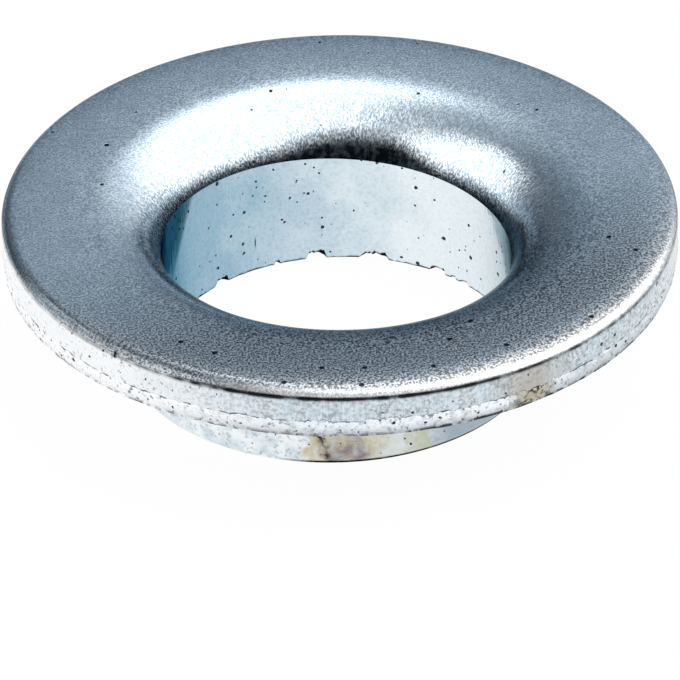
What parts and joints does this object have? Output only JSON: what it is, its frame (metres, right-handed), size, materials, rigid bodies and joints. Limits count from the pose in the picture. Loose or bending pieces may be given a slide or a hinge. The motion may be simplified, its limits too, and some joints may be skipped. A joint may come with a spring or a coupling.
{
  "type": "flanged collar washer",
  "caption": "Round sheet steel washer with a flared neck and a drawn collar below the flange; seats a bolt in a plate hole.",
  "frame": {"origin": "middle of the collar's foot, on the surface that the washer stands on", "axes": "+Z along the bore axis, from the collar's foot up to the flange's top face; X and Y lie in the flange and are alike"},
  "size_m": [0.025, 0.025, 0.0065],
  "materials": {
    "zinc_plated_steel": "bright zinc plating with a clear blue passivation, satin on the top face and smooth in the bore"
  },
  "bodies": {
    "root": {"flanged_washer": "zinc_plated_steel"}
  },
  "joints": []
}
